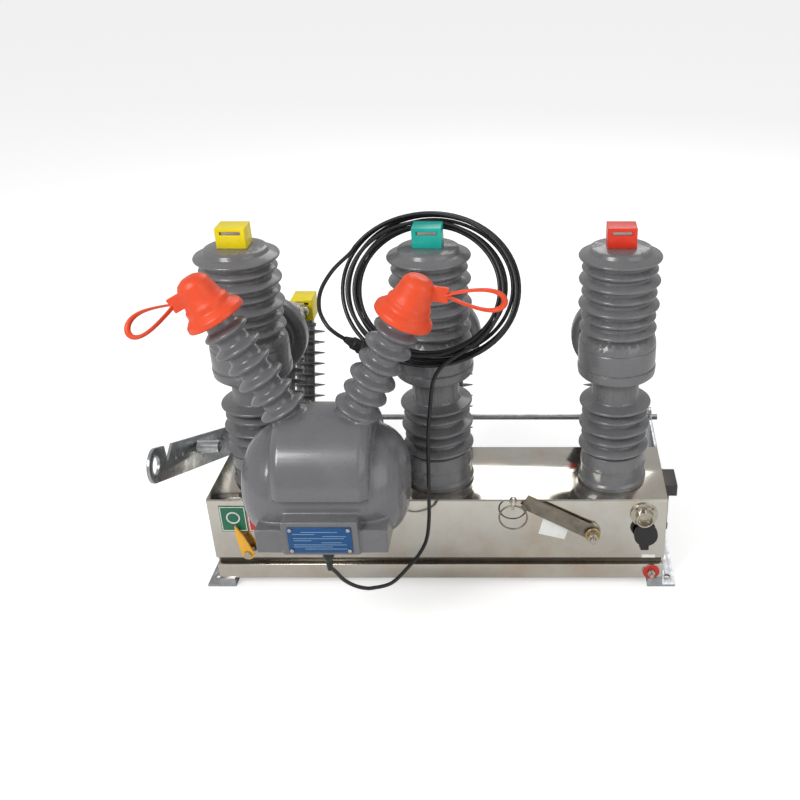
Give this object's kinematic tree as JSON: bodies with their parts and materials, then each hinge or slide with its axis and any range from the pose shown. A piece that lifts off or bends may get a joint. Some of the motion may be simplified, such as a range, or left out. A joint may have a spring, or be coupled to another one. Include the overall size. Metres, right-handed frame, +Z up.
{
  "type": "outdoor vacuum circuit breaker with isolating switch",
  "caption": "Outdoor vacuum circuit breaker: ribbed insulating poles on a flat steel box, rear isolating switch with side lever, and a front voltage transformer with a coiled cable.",
  "frame": {"origin": "centre of the four foot bolts, on the floor, under the middle pole", "axes": "+X to the right seen from the front, +Y back towards the isolating switch, +Z up"},
  "size_m": [0.951, 0.791, 0.7317],
  "materials": {
    "stainless": "polished sheet",
    "insulator_resin": "cast epoxy, glossy",
    "transformer_resin": "cast epoxy, satin",
    "galvanised": "zinc coated",
    "terminal_metal": "tinned",
    "blade_metal": "tinned copper",
    "yellow_sleeve": "moulded",
    "green_sleeve": "moulded",
    "red_sleeve": "moulded",
    "orange_rubber": "moulded silicone",
    "blue_plate": "printed",
    "black_plastic": "moulded",
    "cable_jacket": "extruded",
    "black_rubber": "moulded",
    "indicator_paint": "enamelled",
    "pointer_paint": "enamelled",
    "dark_steel": "blackened",
    "bolt_metal": "zinc plated"
  },
  "bodies": {
    "base": {"left_foot": "galvanised", "right_foot": "galvanised", "housing": "stainless", "front_panel": "stainless", "top_plate": "stainless", "lower_rail": "stainless", "left_arm": "galvanised", "right_arm": "galvanised", "rear_beam": "galvanised", "support_insulator_a": "insulator_resin", "support_insulator_b": "insulator_resin", "support_insulator_c": "insulator_resin", "interrupter_a": "insulator_resin", "interrupter_b": "insulator_resin", "interrupter_c": "insulator_resin", "top_terminals": "terminal_metal", "phase_sleeves_a": "yellow_sleeve", "phase_sleeves_b": "green_sleeve", "phase_sleeves_c": "red_sleeve", "current_transformer_a": "insulator_resin", "current_transformer_b": "insulator_resin", "current_transformer_c": "insulator_resin", "outlet_contacts": "terminal_metal", "rear_post_a": "insulator_resin", "rear_post_b": "insulator_resin", "rear_post_c": "insulator_resin", "rear_terminals": "terminal_metal", "transformer_body": "transformer_resin", "transformer_cap_left": "orange_rubber", "transformer_cap_right": "orange_rubber", "transformer_nameplate": "blue_plate", "transformer_bracket": "galvanised", "cable_gland": "black_plastic", "voltage_cable": "cable_jacket", "cable_coil": "cable_jacket", "cable_plug": "black_plastic", "indicator_plates": "indicator_paint", "pivot_bolts": "bolt_metal", "trip_eye": "bolt_metal", "control_socket": "bolt_metal", "socket_cap": "black_rubber", "earth_stud": "bolt_metal", "side_latch": "dark_steel"},
    "isolator": {"isolator_shaft": "galvanised", "isolator_lever": "galvanised"},
    "blade_a": {"isolator_blade_a": "blade_metal"},
    "rod_a": {"pull_rod_a": "insulator_resin"},
    "blade_b": {"isolator_blade_b": "blade_metal"},
    "rod_b": {"pull_rod_b": "insulator_resin"},
    "blade_c": {"isolator_blade_c": "blade_metal"},
    "rod_c": {"pull_rod_c": "insulator_resin"},
    "pointer": {"indicator_pointer": "pointer_paint"},
    "handle": {"charging_handle": "stainless"},
    "ring": {"trip_ring": "bolt_metal"}
  },
  "joints": [
    {"name": "isolator_swing", "type": "hinge", "parent": "base", "child": "isolator", "pos_m": [0, 0.25, 0.2015], "axis": [1, 0, 0], "range_deg": [-55, 0]},
    {"name": "blade_swing_a", "type": "hinge", "parent": "base", "child": "blade_a", "pos_m": [-0.34, 0.384, 0.398], "axis": [1, 0, 0], "range_deg": [-55, 0]},
    {"name": "rod_swing_a", "type": "hinge", "parent": "isolator", "child": "rod_a", "pos_m": [-0.34, 0.18501, 0.2325], "axis": [1, 0, 0], "range_deg": [0, 55]},
    {"name": "blade_swing_b", "type": "hinge", "parent": "base", "child": "blade_b", "pos_m": [0, 0.384, 0.398], "axis": [1, 0, 0], "range_deg": [-55, 0]},
    {"name": "rod_swing_b", "type": "hinge", "parent": "isolator", "child": "rod_b", "pos_m": [0, 0.18501, 0.2325], "axis": [1, 0, 0], "range_deg": [0, 55]},
    {"name": "blade_swing_c", "type": "hinge", "parent": "base", "child": "blade_c", "pos_m": [0.34, 0.384, 0.398], "axis": [1, 0, 0], "range_deg": [-55, 0]},
    {"name": "rod_swing_c", "type": "hinge", "parent": "isolator", "child": "rod_c", "pos_m": [0.34, 0.18501, 0.2325], "axis": [1, 0, 0], "range_deg": [0, 55]},
    {"name": "pointer_turn", "type": "hinge", "parent": "base", "child": "pointer", "pos_m": [-0.374, -0.095, 0.086], "axis": [0, -1, 0], "range_deg": [-29, 0]},
    {"name": "handle_turn", "type": "hinge", "parent": "base", "child": "handle", "pos_m": [0.299, -0.095, 0.136], "axis": [0, -1, 0], "range_deg": [0, 60]},
    {"name": "ring_swing", "type": "hinge", "parent": "base", "child": "ring", "pos_m": [0.146, -0.106, 0.2065], "axis": [1, 0, 0], "range_deg": [-90, 12]}
  ],
  "couplings": [
    {"joint": "blade_swing_a", "follows": "isolator_swing", "ratio": 1},
    {"joint": "rod_swing_a", "follows": "isolator_swing", "ratio": -1},
    {"joint": "blade_swing_b", "follows": "isolator_swing", "ratio": 1},
    {"joint": "rod_swing_b", "follows": "isolator_swing", "ratio": -1},
    {"joint": "blade_swing_c", "follows": "isolator_swing", "ratio": 1},
    {"joint": "rod_swing_c", "follows": "isolator_swing", "ratio": -1}
  ]
}
